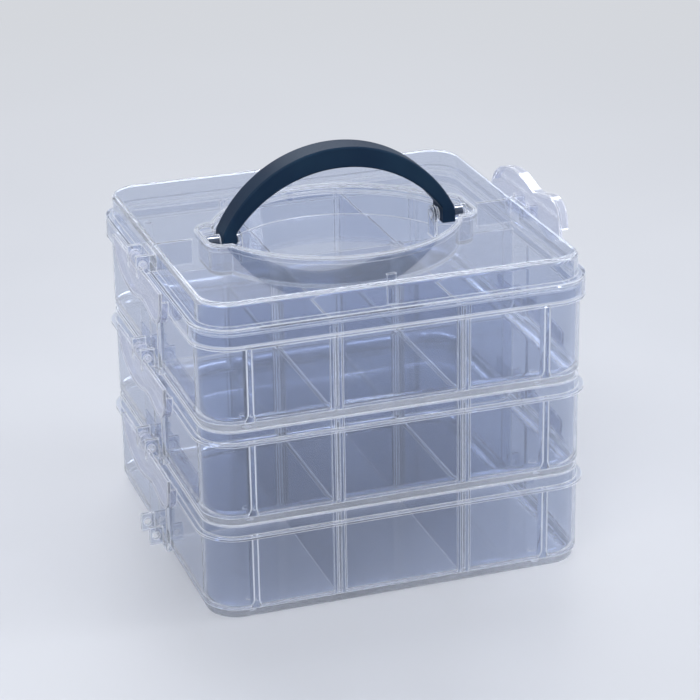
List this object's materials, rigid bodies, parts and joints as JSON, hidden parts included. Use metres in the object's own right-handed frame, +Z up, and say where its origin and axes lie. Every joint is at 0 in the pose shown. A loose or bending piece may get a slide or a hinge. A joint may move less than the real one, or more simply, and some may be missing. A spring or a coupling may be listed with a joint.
{
  "type": "stackable storage box",
  "caption": "Clear stackable storage box with tiers of divided trays, swing latches, a clip-on lid and a dark folding handle.",
  "frame": {"origin": "centre of the box's footprint at the level of the flat underside of the bottom tray", "axes": "+X to the right along the handle, -Y towards the front, +Z up through the stack"},
  "size_m": [0.1784, 0.1648, 0.17],
  "materials": {
    "clear_plastic": "clear moulded polypropylene, glossy with pale edges",
    "divider_plastic": "clear thin moulded plastic",
    "handle_plastic": "dark blue-green moulded plastic, satin gloss"
  },
  "bodies": {
    "base": {"tray_bottom": "clear_plastic", "divider_bottom_front_left": "divider_plastic", "divider_bottom_front_right": "divider_plastic", "divider_bottom_back_left": "divider_plastic", "divider_bottom_back_right": "divider_plastic"},
    "middle_tier": {"tray_middle": "clear_plastic", "divider_middle_front_left": "divider_plastic", "divider_middle_front_right": "divider_plastic", "divider_middle_back_left": "divider_plastic", "divider_middle_back_right": "divider_plastic"},
    "top_tier": {"tray_top": "clear_plastic", "divider_top_front_left": "divider_plastic", "divider_top_front_right": "divider_plastic", "divider_top_back_left": "divider_plastic", "divider_top_back_right": "divider_plastic"},
    "lid_body": {"lid": "clear_plastic"},
    "handle_body": {"handle": "handle_plastic"},
    "lid_left_latch": {"latch_lid_left": "clear_plastic"},
    "lid_right_latch": {"latch_lid_right": "clear_plastic"},
    "top_left_latch": {"latch_top_left": "clear_plastic"},
    "top_right_latch": {"latch_top_right": "clear_plastic"},
    "middle_left_latch": {"latch_middle_left": "clear_plastic"},
    "middle_right_latch": {"latch_middle_right": "clear_plastic"}
  },
  "joints": [
    {"name": "middle_tray_lift", "type": "slide", "parent": "base", "child": "middle_tier", "axis": [0, 0, 1], "range_m": [0, 0.06]},
    {"name": "top_tray_lift", "type": "slide", "parent": "middle_tier", "child": "top_tier", "axis": [0, 0, 1], "range_m": [0, 0.06]},
    {"name": "lid_lift", "type": "slide", "parent": "top_tier", "child": "lid_body", "axis": [0, 0, 1], "range_m": [0, 0.06]},
    {"name": "handle_fold", "type": "hinge", "parent": "lid_body", "child": "handle_body", "pos_m": [0, 0, 0.1336], "axis": [1, 0, 0], "range_deg": [-90, 90]},
    {"name": "lid_left_latch_swing", "type": "hinge", "parent": "lid_body", "child": "lid_left_latch", "pos_m": [-0.0864, 0, 0.1303], "axis": [0, 1, 0], "range_deg": [0, 180]},
    {"name": "lid_right_latch_swing", "type": "hinge", "parent": "lid_body", "child": "lid_right_latch", "pos_m": [0.0864, 0, 0.1303], "axis": [0, -1, 0], "range_deg": [-180, 0]},
    {"name": "top_left_latch_swing", "type": "hinge", "parent": "top_tier", "child": "top_left_latch", "pos_m": [-0.0864, 0, 0.089], "axis": [0, 1, 0], "range_deg": [0, 180]},
    {"name": "top_right_latch_swing", "type": "hinge", "parent": "top_tier", "child": "top_right_latch", "pos_m": [0.0864, 0, 0.089], "axis": [0, -1, 0], "range_deg": [0, 180]},
    {"name": "middle_left_latch_swing", "type": "hinge", "parent": "middle_tier", "child": "middle_left_latch", "pos_m": [-0.0864, 0, 0.048], "axis": [0, 1, 0], "range_deg": [0, 180]},
    {"name": "middle_right_latch_swing", "type": "hinge", "parent": "middle_tier", "child": "middle_right_latch", "pos_m": [0.0864, 0, 0.048], "axis": [0, -1, 0], "range_deg": [0, 180]}
  ]
}
